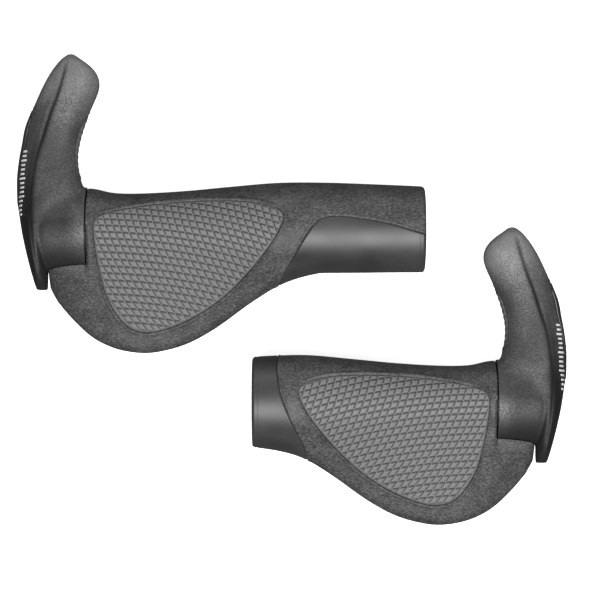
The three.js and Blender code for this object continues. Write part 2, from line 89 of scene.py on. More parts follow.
def through(points):
    """y as a smooth function of x through (x, y) points."""
    xs, ys = np.array(points, float).T
    slope = np.gradient(ys)
    slope[1:-1] = (ys[2:] - ys[:-2]) / (xs[2:] - xs[:-2])
    slope[0] = (ys[1] - ys[0]) / (xs[1] - xs[0])
    slope[-1] = (ys[-1] - ys[-2]) / (xs[-1] - xs[-2])

    def at(x):
        i = np.clip(np.searchsorted(xs, x, side="right") - 1, 0, len(xs) - 2)
        width = xs[i + 1] - xs[i]
        t = np.clip((x - xs[i]) / width, 0, 1)
        t2, t3 = t * t, t * t * t
        return (
            ys[i] * (2 * t3 - 3 * t2 + 1)
            + ys[i + 1] * (3 * t2 - 2 * t3)
            + width * (slope[i] * (t3 - 2 * t2 + t) + slope[i + 1] * (t3 - t2))
        )

    return at


def smooth_outline(points, per_span=12, closed=True):
    """A centripetal Catmull-Rom curve through plan points."""
    points = [np.array(p, float) for p in points]
    n = len(points)
    spans = n if closed else n - 1
    found = []
    for i in range(spans):
        if closed:
            p0, p1, p2, p3 = (points[(i + k) % n] for k in (-1, 0, 1, 2))
        else:
            p1, p2 = points[i], points[i + 1]
            p0 = points[i - 1] if i else 2 * p1 - p2
            p3 = points[i + 2] if i + 2 < n else 2 * p2 - p1
        t0 = 0.0
        t1 = t0 + math.sqrt(np.linalg.norm(p1 - p0))
        t2 = t1 + math.sqrt(np.linalg.norm(p2 - p1))
        t3 = t2 + math.sqrt(np.linalg.norm(p3 - p2))
        for t in np.linspace(t1, t2, per_span, endpoint=False):
            a1 = (t1 - t) / (t1 - t0) * p0 + (t - t0) / (t1 - t0) * p1
            a2 = (t2 - t) / (t2 - t1) * p1 + (t - t1) / (t2 - t1) * p2
            a3 = (t3 - t) / (t3 - t2) * p2 + (t - t2) / (t3 - t2) * p3
            b1 = (t2 - t) / (t2 - t0) * a1 + (t - t0) / (t2 - t0) * a2
            b2 = (t3 - t) / (t3 - t1) * a2 + (t - t1) / (t3 - t1) * a3
            found.append((t2 - t) / (t2 - t1) * b1 + (t - t1) / (t2 - t1) * b2)
    if not closed:
        found.append(points[-1])
    return np.array(found)


def outline_distance(outline, x, y):
    """Signed distance to a closed plan outline, negative inside."""
    shape = np.shape(x)
    x, y = np.ravel(x), np.ravel(y)
    best = np.full(x.shape, 1e9)
    inside = np.zeros(x.shape, bool)
    for (ax, ay), (bx, by) in zip(outline, np.roll(outline, -1, axis=0)):
        dx, dy = bx - ax, by - ay
        length2 = dx * dx + dy * dy
        if length2 < 1e-12:
            continue
        t = np.clip(((x - ax) * dx + (y - ay) * dy) / length2, 0, 1)
        best = np.minimum(best, (x - ax - t * dx) ** 2 + (y - ay - t * dy) ** 2)
        if ay != by:
            crosses = (ay > y) != (by > y)
            inside ^= crosses & (x < ax + (y - ay) / (by - ay) * dx)
    distance = np.sqrt(best)
    return np.where(inside, -distance, distance).reshape(shape)


def ramp(low, high, x):
    t = np.clip((x - low) / (high - low), 0, 1)
    return t * t * (3 - 2 * t)


def bump(x, middle, width):
    return np.exp(-(((x - middle) / width) ** 2))


# ---------------------------------------------------------------- meshes


def new_mesh(name, vertices, faces):
    """A mesh from points and arrays of triangles or quads, turned to face out."""
    vertices = np.asarray(vertices, np.float64)
    faces = [np.asarray(f, np.int64) for f in faces if len(f)]
    volume = 0.0
    for f in faces:
        a = vertices[f[:, 0]]
        for k in range(1, f.shape[1] - 1):
            b, c = vertices[f[:, k]], vertices[f[:, k + 1]]
            volume += np.einsum("ij,ij->", a, np.cross(b, c))
    if volume < 0:
        faces = [f[:, ::-1] for f in faces]
    mesh = bpy.data.meshes.new(name)
    mesh.vertices.add(len(vertices))
    mesh.vertices.foreach_set("co", vertices.astype(np.float32).ravel())
    loops = np.concatenate([f.ravel() for f in faces]).astype(np.int32)
    sizes = np.concatenate([np.full(len(f), f.shape[1]) for f in faces])
    starts = (np.cumsum(sizes) - sizes).astype(np.int32)
    mesh.loops.add(len(loops))
    mesh.loops.foreach_set("vertex_index", loops)
    mesh.polygons.add(len(sizes))
    mesh.polygons.foreach_set("loop_start", starts)
    mesh.update(calc_edges=True)
    mesh.validate()
    return mesh


def points_of(mesh):
    co = np.empty(len(mesh.vertices) * 3, np.float32)
    mesh.vertices.foreach_get("co", co)
    return co.reshape(-1, 3).astype(np.float64)


def normals_of(mesh):
    found = np.empty(len(mesh.vertices) * 3, np.float32)
    mesh.vertices.foreach_get("normal", found)
    return found.reshape(-1, 3).astype(np.float64)


def set_points(mesh, points):
    mesh.vertices.foreach_set("co", points.astype(np.float32).ravel())
    mesh.update()


def loft(rings):
    """A closed surface through rings of points, with a fan at each end."""
    rings = np.asarray(rings)
    m, n, _ = rings.shape
    points = rings.reshape(-1, 3)
    index = np.arange(m * n).reshape(m, n)
    following = np.roll(index, -1, axis=1)
    quads = np.stack([index[:-1], following[:-1], following[1:], index[1:]], -1).reshape(-1, 4)
    hubs = np.array([rings[0].mean(0), rings[-1].mean(0)])
    first = np.stack([np.full(n, m * n), following[0], index[0]], -1)
    last = np.stack([np.full(n, m * n + 1), index[-1], following[-1]], -1)
    return np.concatenate([points, hubs]), [quads, first, last]


def turned(profile, segments=96, closed=False):
    """A profile of (x, radius) pairs turned about the x axis; its ends are on the axis, or it closes on itself."""
    profile = np.array(profile, float)
    angles = np.arange(segments) * 2 * np.pi / segments
    rings = np.stack(
        [
            np.repeat(profile[:, 0:1], segments, axis=1),
            profile[:, 1:2] * np.cos(angles),
            profile[:, 1:2] * np.sin(angles),
        ],
        -1,
    )
    if closed:
        m, n = len(profile), segments
        index = np.arange(m * n).reshape(m, n)
        following = np.roll(index, -1, axis=1)
        below, across = np.roll(index, -1, axis=0), np.roll(following, -1, axis=0)
        return rings.reshape(-1, 3), [np.stack([index, following, across, below], -1).reshape(-1, 4)]
    return loft(rings[1:-1])


def rounded(corners, radius, steps=4):
    """A closed or open (x, radius) profile with its inner corners rounded."""
    corners = [np.array(c, float) for c in corners]
    found = [corners[0]]
    for before, at, after in zip(corners, corners[1:], corners[2:]):
        a, b = before - at, after - at
        la, lb = np.linalg.norm(a), np.linalg.norm(b)
        cut = min(radius, 0.45 * la, 0.45 * lb)
        start, end = at + a / la * cut, at + b / lb * cut
        for t in np.linspace(0, 1, steps + 1):
            found.append((1 - t) ** 2 * start + 2 * t * (1 - t) * at + t * t * end)
    found.append(corners[-1])
    return found


def block(x0, x1, y0, y1, z0, z1):
    corners = np.array([[x, y, z] for x in (x0, x1) for y in (y0, y1) for z in (z0, z1)], float)
    quads = [[0, 1, 3, 2], [4, 6, 7, 5], [0, 4, 5, 1], [2, 3, 7, 6], [0, 2, 6, 4], [1, 5, 7, 3]]
    return corners, [np.array(quads)]


def thick_patch_used(top, bottom, keep):
    """The closed slab between two grids of points, where keep says so for each quad.

    Also which of the grids' points it uses, to carry values over.
    """
    m, n, _ = top.shape
    index = np.arange(m * n).reshape(m, n)
    both = np.concatenate([top.reshape(-1, 3), bottom.reshape(-1, 3)])
    i, j = np.nonzero(keep)
    corner = [index[i, j], index[i, j + 1], index[i + 1, j + 1], index[i + 1, j]]
    quads = np.stack(corner, -1)
    padded = np.zeros((m + 1, n + 1), bool)
    padded[1:-1, 1:-1] = keep
    walls = []
    for di, dj, a, b in ((-1, 0, 0, 1), (0, 1, 1, 2), (1, 0, 2, 3), (0, -1, 3, 0)):
        open_edge = ~padded[i + 1 + di, j + 1 + dj]
        walls.append(np.stack([corner[a][open_edge], corner[b][open_edge]], -1))
    walls = np.concatenate(walls)
    count = m * n
    side = np.stack([walls[:, 1], walls[:, 0], walls[:, 0] + count, walls[:, 1] + count], -1)
    faces = np.concatenate([quads, quads[:, ::-1] + count, side])
    used, inverse = np.unique(faces, return_inverse=True)
    return (both[used], [inverse.reshape(faces.shape)]), used


def thick_patch(top, bottom, keep):
    return thick_patch_used(top, bottom, keep)[0]


def high_slab(name, top, bottom, inside, heights):
    """A slab between two grids that carries its relief's heights, which its material turns into painted shade in the
    grooves and painted highlights on the high sides.
    """
    shape, used = thick_patch_used(top, bottom, whole_cells(inside))
    mesh = new_mesh(name, *shape)
    add_attribute(mesh, "height", np.concatenate([heights.ravel(), np.zeros(heights.size)])[used])
    return mesh


def whole_cells(inside):
    """The quads whose four corners are inside."""
    return inside[:-1, :-1] & inside[1:, :-1] & inside[:-1, 1:] & inside[1:, 1:]


def holder(shape, name="shape"):
    """A temporary object, still in one grip's frame and millimetres."""
    mesh = shape if isinstance(shape, bpy.types.Mesh) else new_mesh(name, *shape)
    obj = bpy.data.objects.new(name, mesh)
    bpy.context.scene.collection.objects.link(obj)
    return obj


def applied(obj):
    """The object's mesh with its modifiers applied; the object goes."""
    graph = bpy.context.evaluated_depsgraph_get()
    graph.update()
    mesh = bpy.data.meshes.new_from_object(obj.evaluated_get(graph))
    bpy.data.objects.remove(obj)
    return mesh


def joined(shapes):
    points, faces, base = [], [], 0
    for vertices, lists in shapes:
        mesh = new_mesh("part", vertices, lists)
        sizes = np.empty(len(mesh.polygons), np.int32)
        mesh.polygons.foreach_get("loop_total", sizes)
        loops = np.empty(len(mesh.loops), np.int32)
        mesh.loops.foreach_get("vertex_index", loops)
        starts = np.cumsum(sizes) - sizes
        for size in np.unique(sizes):
            first = starts[sizes == size]
            faces.append(loops[first[:, None] + np.arange(size)] + base)
        points.append(points_of(mesh))
        base += len(mesh.vertices)
        bpy.data.meshes.remove(mesh)
    return np.concatenate(points), faces


def melted(shapes, voxel, smoothing):
    """Shapes that overlap, made one skin with soft joints."""
    obj = holder(joined(shapes))
    remesh = obj.modifiers.new("remesh", "REMESH")
    remesh.mode = "VOXEL"
    remesh.voxel_size = voxel
    remesh.adaptivity = 0
    if smoothing:
        soften = obj.modifiers.new("soften", "SMOOTH")
        soften.factor = 0.5
        soften.iterations = smoothing
    return applied(obj)


def carved(shape, cutters):
    """A shape with others cut out of it."""
    for cutter in cutters:
        obj, tool = holder(shape), holder(cutter)
        cut = obj.modifiers.new("cut", "BOOLEAN")
        cut.operation = "DIFFERENCE"
        cut.solver = "MANIFOLD"
        cut.object = tool
        shape = applied(obj)
        bpy.data.objects.remove(tool)
    return shape


def shade(mesh, angle=38):
    """Smooth faces, with an edge sharp where it turns more than an angle."""
    work = bmesh.new()
    work.from_mesh(mesh)
    limit = math.radians(angle)
    for face in work.faces:
        face.smooth = True
    for edge in work.edges:
        edge.smooth = len(edge.link_faces) != 2 or edge.calc_face_angle(0) < limit
    work.to_mesh(mesh)
    work.free()


def place(hand, name, shape, material, node_names, body, angle=38):
    """Moves a shape from one grip's frame to the pair's, in metres, and gives it its body and finish."""
    mesh = shape if isinstance(shape, bpy.types.Mesh) else new_mesh(name, *shape)
    points = points_of(mesh)
    side = SIDE[hand]
    world = np.stack(
        [side * (HALF_SPREAD + points[:, 0]), AXIS_Y[hand] + points[:, 1], AXIS_HEIGHT + points[:, 2]], -1
    )
    set_points(mesh, world / 1000)
    if side < 0:
        mesh.flip_normals()
    shade(mesh, angle)
    mesh.name = f"{hand}_{name}"
    mesh.materials.clear()
    mesh.materials.append(material)
    obj = bpy.data.objects.new(f"{hand}_{name}", mesh)
    bpy.context.scene.collection.objects.link(obj)
    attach(obj, f"{hand}_{body}")
    if node_names:
        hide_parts(*(f"{hand}_{n}" for n in node_names))
    return obj


# ---------------------------------------------------------------- materials


class Shader:
    """A Principled material and short ways to add nodes to it."""

    def __init__(self, name, color, roughness, metallic=0.0, specular=0.5):
        self.material = bpy.data.materials.new(name)
        self.material.use_nodes = True
        self.tree = self.material.node_tree
        self.main = self.tree.nodes["Principled BSDF"]
        self.main.inputs["Base Color"].default_value = (*color, 1)
        self.main.inputs["Roughness"].default_value = roughness
        self.main.inputs["Metallic"].default_value = metallic
        self.main.inputs["Specular IOR Level"].default_value = specular
        self.place = self.tree.nodes.new("ShaderNodeTexCoord").outputs["Object"]
        self.normal = None

    def link(self, source, node, socket):
        self.tree.links.new(source, node.inputs[socket])

    def stretched(self, scale):
        node = self.tree.nodes.new("ShaderNodeMapping")
        node.inputs["Scale"].default_value = scale
        self.link(self.place, node, "Vector")
        return node.outputs["Vector"]

    def noise(self, scale, detail=3, roughness=0.6, along=(1, 1, 1)):
        node = self.tree.nodes.new("ShaderNodeTexNoise")
        node.inputs["Scale"].default_value = scale
        node.inputs["Detail"].default_value = detail
        node.inputs["Roughness"].default_value = roughness
        self.link(self.stretched(along), node, "Vector")
        return node.outputs["Fac"]

    def attribute(self, name):
        node = self.tree.nodes.new("ShaderNodeAttribute")
        node.attribute_name = name
        return node.outputs["Fac"]

    def spread(self, value, low, high, to_low, to_high):
        node = self.tree.nodes.new("ShaderNodeMapRange")
        node.inputs["From Min"].default_value = low
        node.inputs["From Max"].default_value = high
        node.inputs["To Min"].default_value = to_low
        node.inputs["To Max"].default_value = to_high
        self.link(value, node, "Value")
        return node.outputs["Result"]

    def combine(self, operation, a, b):
        node = self.tree.nodes.new("ShaderNodeMath")
        node.operation = operation
        for socket, value in enumerate((a, b)):
            if isinstance(value, (int, float)):
                node.inputs[socket].default_value = value
            else:
                self.tree.links.new(value, node.inputs[socket])
        return node.outputs["Value"]

    def colors(self, value, *stops):
        node = self.tree.nodes.new("ShaderNodeValToRGB")
        while len(node.color_ramp.elements) < len(stops):
            node.color_ramp.elements.new(0.5)
        for element, (position, color) in zip(node.color_ramp.elements, stops):
            element.position = position
            element.color = (*color, 1)
        self.link(value, node, "Fac")
        self.link(node.outputs["Color"], self.main, "Base Color")
        return node

    def relief(self, height, distance, strength=1.0):
        node = self.tree.nodes.new("ShaderNodeBump")
        node.inputs["Strength"].default_value = strength
        node.inputs["Distance"].default_value = distance
        self.link(height, node, "Height")
        if self.normal is not None:
            self.link(self.normal, node, "Normal")
        self.normal = node.outputs["Normal"]
        self.link(self.normal, self.main, "Normal")

    def rough(self, value):
        self.link(value, self.main, "Roughness")


def gray(value, tint=0.0):
    return (value, value, value * (1 + tint))


def body_rubber():
    m = Shader("body_rubber", gray(0.045), 0.55, specular=0.45)
    grain = m.noise(1700, 3, 0.6, (0.55, 1, 1))
    broad = m.noise(130, 3)
    shade_of = m.combine("ADD", m.combine("MULTIPLY", grain, 0.75), m.combine("MULTIPLY", broad, 0.25))
    m.colors(shade_of, (0.35, gray(0.015)), (0.5, gray(0.05)), (0.65, gray(0.115)))
    m.rough(m.spread(grain, 0.3, 0.7, 0.48, 0.66))
    m.relief(m.noise(2600, 2), 0.00004, 0.5)
    m.relief(grain, 0.00009, 0.55)
    return m.material


def pad_rubber():
    m = Shader("pad_rubber", gray(0.12), 0.6, specular=0.4)
    grain = m.noise(1800, 3)
    # Painted shade and highlight from the relief's height: darker in the grooves and at the pad's border, lighter on
    # the tiles' high sides and knobs.
    high = m.attribute("height")
    tone = m.combine("ADD", m.combine("MULTIPLY", grain, 0.25), m.combine("MULTIPLY", high, 0.75))
    m.colors(tone, (0.1, gray(0.03)), (0.55, gray(0.125)), (0.95, gray(0.19)))
    m.rough(m.spread(grain, 0.3, 0.7, 0.5, 0.7))
    m.relief(grain, 0.00005, 0.5)
    return m.material


def smooth_rubber():
    m = Shader("smooth_rubber", gray(0.03), 0.5, specular=0.7)
    fine = m.noise(1500, 3)
    broad = m.noise(45, 2)
    m.colors(m.combine("ADD", m.combine("MULTIPLY", fine, 0.3), m.combine("MULTIPLY", broad, 0.7)),
             (0.35, gray(0.02)), (0.65, gray(0.036)))
    m.rough(m.spread(broad, 0.3, 0.7, 0.44, 0.54))
    m.relief(fine, 0.00003, 0.4)
    return m.material


def bar_end_composite():
    m = Shader("bar_end_composite", gray(0.04), 0.55, specular=0.5)
    spark = m.noise(1500, 4, 0.75)
    broad = m.noise(80, 3)
    # Painted light and shade from the part's attribute: darker in the crease and along the inlays' recess borders,
    # lighter at the tip and beside the gap, darker at the root and along the spine.
    painted_shade_and_light = m.attribute("painted_shade_and_light")
    tone = m.combine("ADD", m.combine("MULTIPLY", spark, 0.7), m.combine("MULTIPLY", broad, 0.3))
    tone = m.combine("SUBTRACT", tone, m.combine("MULTIPLY", painted_shade_and_light, 0.5))
    m.colors(tone, (0.05, gray(0.004)), (0.3, gray(0.015)), (0.5, gray(0.044)), (0.66, gray(0.12)), (0.85, gray(0.2)))
    m.rough(m.spread(spark, 0.35, 0.65, 0.68, 0.45))
    m.relief(m.noise(3200, 2), 0.00004, 0.5)
    m.relief(spark, 0.00012, 0.6)
    return m.material


def tick_paint():
    m = Shader("tick_paint", gray(0.7), 0.5)
    patchy = m.noise(1400, 4, 0.7)
    m.colors(patchy, (0.3, gray(0.45)), (0.6, gray(0.78)))
    m.relief(patchy, 0.00002, 0.4)
    return m.material


def grained(name, color, roughness, scale, dark, light, rough_range, metallic=0.0, along=(1, 1, 1), depth=0.00003):
    """A finish whose one fine noise moves its colour, roughness and relief together."""
    m = Shader(name, color, roughness, metallic=metallic)
    fine = m.noise(scale, 3, 0.6, along)
    m.colors(fine, dark, light)
    m.rough(m.spread(fine, 0.3, 0.7, *rough_range))
    m.relief(fine, depth, 0.4)
    return m.material


FINISH = {
    make.__name__: make() for make in (body_rubber, pad_rubber, smooth_rubber, bar_end_composite, tick_paint)
}
FINISH["core_plastic"] = grained(
    "core_plastic", gray(0.02), 0.5, 700, (0.35, gray(0.012)), (0.7, gray(0.03)), (0.42, 0.58),
    along=(0.25, 1, 1), depth=0.00005)
FINISH["badge_plastic"] = grained(
    "badge_plastic", gray(0.02), 0.33, 1800, (0.35, gray(0.014)), (0.7, gray(0.026)), (0.28, 0.38))
FINISH["bolt_steel"] = grained(
    "bolt_steel", gray(0.09), 0.38, 1400, (0.35, gray(0.06)), (0.7, gray(0.14)), (0.3, 0.46), metallic=1.0)
FINISH["insert_brass"] = grained(
    "insert_brass", (0.55, 0.36, 0.12), 0.35, 1200, (0.3, (0.42, 0.27, 0.09)), (0.7, (0.62, 0.42, 0.16)),
    (0.28, 0.42), metallic=1.0)


# ---------------------------------------------------------------- the grip's outer form

FRONT = [[-15, 16], [0, 16], [3, 15.9], [9, 14.3], [20, 14], [38, 15], [56, 16.7], [74, 18.2]]
REAR = [[-15, 22.8], [-12, 28], [-8, 32.8], [0, 40.6], [6, 44.1], [12, 46.3], [20, 47.5], [26, 47.2],
        [38, 44], [50, 37.5], [62, 29], [74, 21.8]]
TOP = [[-15, 16.4], [0, 16.4], [9, 15.7], [20, 15.7], [38, 16.3], [56, 16.9], [74, 17.2]]
BOTTOM = [[-15, 16.2], [0, 16.2], [9, 15.4], [20, 15.2], [38, 15.4], [56, 15.8], [74, 16.2]]
WING_END = 84
SLEEVE_FRONT = {"left": [[0.17, 18.3], [0.55, 17.7]], "right": []}
SLEEVE_REAR = {"left": [[0, 18.3], [0.3, 15.9], [0.55, 15.8]], "right": [[0, 18.9]]}
END_RADIUS = {"left": 16.8, "right": 17.5}
WING_EDGE = [[-15, 5.4], [0, 5.6], [40, 5.6], [56, 7.6], [68, 11], [78, 14.2], [88, 16]]
WING_DROP = [[-15, 7], [-8, 9], [0, 10.6], [10, 11.1], [20, AXIS_HEIGHT - 5.6], [40, AXIS_HEIGHT - 5.6],
             [56, 8.6], [68, 4.8], [78, 1.6], [88, 0]]

PALM_PAD = [[3.2, 0.3], [4.2, 2.8], [6.2, 4.3], [13.3, 6.5], [26, 8.8], [41, 10.1], [57, 10.1], [67, 9],
            [74.6, 6.2], [76.3, 3.6], [74.8, -1.6], [70.3, -9.1], [62.3, -18.2], [52.2, -27.4],
            [41.2, -34.4], [31, -38.7], [24, -40.2], [18, -39.4], [13, -35.8], [7.9, -27.7],
            [5.3, -18.6], [3.8, -9.4]]
FINGER_PAD = [[12, -1], [18, 7], [36, 9.5], [54, 8.5], [66, 3], [68, -2], [60, -7], [38, -8.5], [18, -6.5]]
LONG_SEAM = [[72.5, -24.5], [76.6, -17.3], [79.5, -12.8], [84.3, -4.6]]
LONG_SEAM_SLEEVE = [[0.074, 0], [0.134, 2.4], [0.2, 3.4], [0.31, 3.5], [0.46, 2.7], [0.664, 1], [1.06, -4.4]]
SHORT_SEAM = [[71.8, -27], [73.7, -18], [77.4, -11], [80.8, -3.3], [83.1, 3.6], [84.1, 12], [83.7, 21]]
WING_SLOPE = 0.27
ROUND = {"corner": 1.1, "rim": 1.5, "lip": 0.9}


def mix(a, b, t):
    return a + (b - a) * t


class Form:
    """The grip's outer form as sections along s."""

    def __init__(self, hand):
        length = GRIP_LENGTH[hand]
        along = lambda points: [[mix(WING_END, length, share), y] for share, y in points]
        last = lambda radius: [[length, radius]]
        self.hand = hand
        self.length = length
        self.front = through(FRONT + along(SLEEVE_FRONT[hand]) + last(END_RADIUS[hand]))
        self.rear = through(REAR + along(SLEEVE_REAR[hand]) + last(END_RADIUS[hand]))
        self.top = through(TOP + last(END_RADIUS[hand]))
        self.bottom = through(BOTTOM + last(AXIS_HEIGHT))
        self.edge = through(WING_EDGE)
        self.drop = through(WING_DROP)

    def section(self, s):
        """One section as (y, z) points, evenly spaced, anticlockwise from the front."""
        front, top, bottom, reach = (float(f(s)) for f in (self.front, self.top, self.bottom, self.rear))
        edge = min(float(self.edge(s)), reach)
        middle = np.array([edge - reach, -float(self.drop(s))])
        away = math.hypot(*middle)
        towards = math.atan2(middle[1], middle[0]) + 2 * math.pi
        lean = math.acos(min(1, max(0, (top - edge) / max(away, 1e-6))))
        leave = math.pi if away < 1 else max(math.pi / 2, towards - lean)
        wing = min(1, max(0, (reach - bottom) / 14))
        turn_back = mix(1.46, 1.62, wing) * math.pi
        rejoin = mix(1.49, 1.34, wing) * math.pi

        def sleeve(angle):
            angle = np.atleast_1d(angle)
            across = np.where(np.cos(angle) > 0, front, np.where(angle < math.pi, top, bottom))
            up = np.where(np.sin(angle) > 0, top, bottom)
            return np.stack([across * np.cos(angle), up * np.sin(angle)], -1)

        def round_edge(angle):
            angle = np.atleast_1d(angle)
            return middle + edge * np.stack([np.cos(angle), np.sin(angle)], -1)

        over = sleeve(np.linspace(0, leave, 90, endpoint=False))
        start, stop = sleeve(leave)[0], round_edge(leave)[0]
        down = start + (stop - start) * np.linspace(0, 1, 40, endpoint=False)[:, None]
        tip = round_edge(np.linspace(leave, turn_back, 60, endpoint=False))
        p0, p3 = round_edge(turn_back)[0], sleeve(rejoin)[0]
        pull = np.linalg.norm(p3 - p0) / 3
        p1 = p0 + pull * np.array([-math.sin(turn_back), math.cos(turn_back)])
        p2 = p3 + pull * np.array([math.sin(rejoin), -math.cos(rejoin)])
        t = np.linspace(0, 1, 50, endpoint=False)[:, None]
        arch = (1 - t) ** 3 * p0 + 3 * t * (1 - t) ** 2 * p1 + 3 * t * t * (1 - t) * p2 + t**3 * p3
        under = sleeve(np.linspace(rejoin, 2 * math.pi, 70, endpoint=False))
        return np.concatenate([over, down, tip, arch, under])


def arc_lengths(points):
    closed = np.vstack([points, points[:1]])
    return closed, np.concatenate([[0], np.cumsum(np.linalg.norm(np.diff(closed, axis=0), axis=1))])


def resampled(points, at):
    """A closed polyline at distances along it; at runs from 0 to 1 of its length."""
    closed, lengths = arc_lengths(points)
    where = at * lengths[-1]
    return np.stack([np.interp(where, lengths, closed[:, k]) for k in (0, 1)], -1)


def softened(grid, spacing, width):
    """The grid smoothed along its rows' direction, over a width, keeping its first and last rows."""
    sigma = width / spacing
    reach = int(3 * sigma)
    kernel = np.exp(-0.5 * (np.arange(-reach, reach + 1) / sigma) ** 2)
    kernel /= kernel.sum()
    first, last = grid[:1], grid[-1:]
    before = 2 * first - grid[reach:0:-1]
    after = 2 * last - grid[-2:-reach - 2:-1]
    padded = np.concatenate([before, grid, after])
    flat = padded.reshape(len(padded), -1)
    found = np.stack([np.convolve(flat[:, k], kernel, "valid") for k in range(flat.shape[1])], -1)
    return found.reshape(grid.shape)


def grid_normals(grid, closed):
    along = np.gradient(grid, axis=0)
    if closed:
        across = (np.roll(grid, -1, axis=1) - np.roll(grid, 1, axis=1)) / 2
    else:
        across = np.gradient(grid, axis=1)
    found = np.cross(across, along)
    found /= np.maximum(np.linalg.norm(found, axis=-1, keepdims=True), 1e-9)
    return found


class Skin:
    """A fine grid over part of the grip's form, with outward normals."""

    def __init__(self, form, s_from, s_to, step, share_from=0.0, share_to=1.0, across=0.4, closed=False):
        perimeter = arc_lengths(form.section(22.0))[1][-1]
        coarse = 0.5
        stations = np.arange(-15, form.length + coarse / 2, coarse)
        count = max(8, int(round(perimeter * (share_to - share_from) / across)))
        share = np.linspace(share_from, share_to, count, endpoint=not closed)
        rings = np.stack([resampled(form.section(s), share) for s in stations])
        rings = softened(rings, coarse, 2.0)
        rows = max(2, int(round((s_to - s_from) / step)) + 1)
        self.s = np.linspace(s_from, s_to, rows)
        where = np.clip((self.s - stations[0]) / coarse, 0, len(stations) - 1)
        low = np.minimum(where.astype(int), len(stations) - 2)
        t = (where - low)[:, None, None]
        yz = rings[low] * (1 - t) + rings[low + 1] * t
        x = np.broadcast_to(-self.s[:, None, None], yz.shape[:2] + (1,))
        self.points = np.concatenate([x, yz], -1)
        self.normals = grid_normals(self.points, closed)
        middle = self.points[:, :, 1:].mean(1, keepdims=True)
        if np.einsum("ijk,ijk->", self.normals[:, :, 1:], self.points[:, :, 1:] - middle) < 0:
            self.normals *= -1

    @property
    def plan(self):
        return -self.points[:, :, 0], self.points[:, :, 1]

    def move_to(self, stations):
        """Takes the grid's rows from its own stations to others between them."""
        where = np.clip((stations - self.s[0]) / (self.s[1] - self.s[0]), 0, len(self.s) - 1)
        low = np.minimum(where.astype(int), len(self.s) - 2)
        t = (where - low)[:, None, None]
        self.points = self.points[low] * (1 - t) + self.points[low + 1] * t
        self.normals = self.normals[low] * (1 - t) + self.normals[low + 1] * t

    def offset(self, distance):
        return self.points + self.normals * np.asarray(distance)[..., None]


def seam_outline(hand):
    far = 60
    beyond = GRIP_LENGTH[hand] + far
    if hand == "right":
        seam = smooth_outline(SHORT_SEAM, 8, closed=False).tolist()
        return np.array(seam + [[83.4, far], [beyond, far], [beyond, -far], [71.5, -far]])
    sleeve = [[mix(WING_END, GRIP_LENGTH["left"], share), y] for share, y in LONG_SEAM_SLEEVE]
    seam = smooth_outline(LONG_SEAM + sleeve, 8, closed=False).tolist()
    return np.array(seam + [[beyond, -2], [beyond, -far], [73.2, -far]])


PALM_OUTLINE = smooth_outline(PALM_PAD)
FINGER_OUTLINE = smooth_outline(FINGER_PAD)


def on_top(points):
    return points[..., 2] > WING_SLOPE * points[..., 1]


# ---------------------------------------------------------------- the palm pad's relief

ROW_PITCH = 2.56
ROW_SAG = 0.0023
ROW_MIDDLE = 2.0
STROKE_PITCH = 2.69
STROKE_SLANT = 0.33
STROKE_BEND = 0.0066


def hound_tooth(s, y):
    """Relief from 0 in the grooves to about 1 on the tiles' high sides."""
    row = (y + ROW_SAG * (s - ROW_MIDDLE) ** 2) / ROW_PITCH
    stroke = (s + STROKE_SLANT * y - STROKE_BEND * y**2) / STROKE_PITCH
    up = row - np.floor(row)  # from the groove behind the tile to the one before it
    out = 1 - (stroke - np.floor(stroke))  # from the groove on the tile's inner side to the next
    from_row = np.minimum(up, 1 - up) * ROW_PITCH
    from_stroke = np.minimum(out, 1 - out) * STROKE_PITCH
    row_groove = (1 - ramp(0.2, 0.52, from_row)) * ramp(0.1, 0.3, out)
    stroke_groove = (1 - ramp(0.12, 0.38, from_stroke)) * ramp(0.08, 0.26, up)
    tile = 0.72 + 0.28 * ramp(0.02, 0.22, out) - 0.3 * out
    knob = 0.28 * bump(out * STROKE_PITCH, 0.35, 0.32) * bump(up * ROW_PITCH, 0.38, 0.32)
    return (tile + knob) * (1 - np.maximum(0.95 * stroke_groove, row_groove))


def add_attribute(mesh, name, values):
    layer = mesh.attributes.new(name, "FLOAT", "POINT")
    layer.data.foreach_set("value", np.asarray(values, np.float32).ravel())


def palm_pad(hand, form):
    step = 0.22
    skin = Skin(form, 1.5, 79.5, step, 0.03, 0.5, across=step)
    s, y = skin.plan
    distance = outline_distance(PALM_OUTLINE, s, y)
    inside = (distance < 0.1) & on_top(skin.points)
    border = ramp(-0.25, -1.2, distance)
    rim = ramp(-0.15, -0.6, distance)
    relief = hound_tooth(s, y)
    height = mix(0.62, relief, border) * rim
    top = skin.offset(-0.75 + 0.3 * rim + 0.42 * (height - 0.3) * rim)
    bottom = skin.offset(np.full(s.shape, -1.35))
    # These heights also set the pad's painted shade in its grooves and the painted highlights on its tiles.
    mesh = high_slab(f"{hand}_palm_pad", top, bottom, inside, mix(0.62, height, rim))
    return place(hand, "palm_pad_fine", mesh, FINISH["pad_rubber"], ["palm_pad"], "grip", 60)


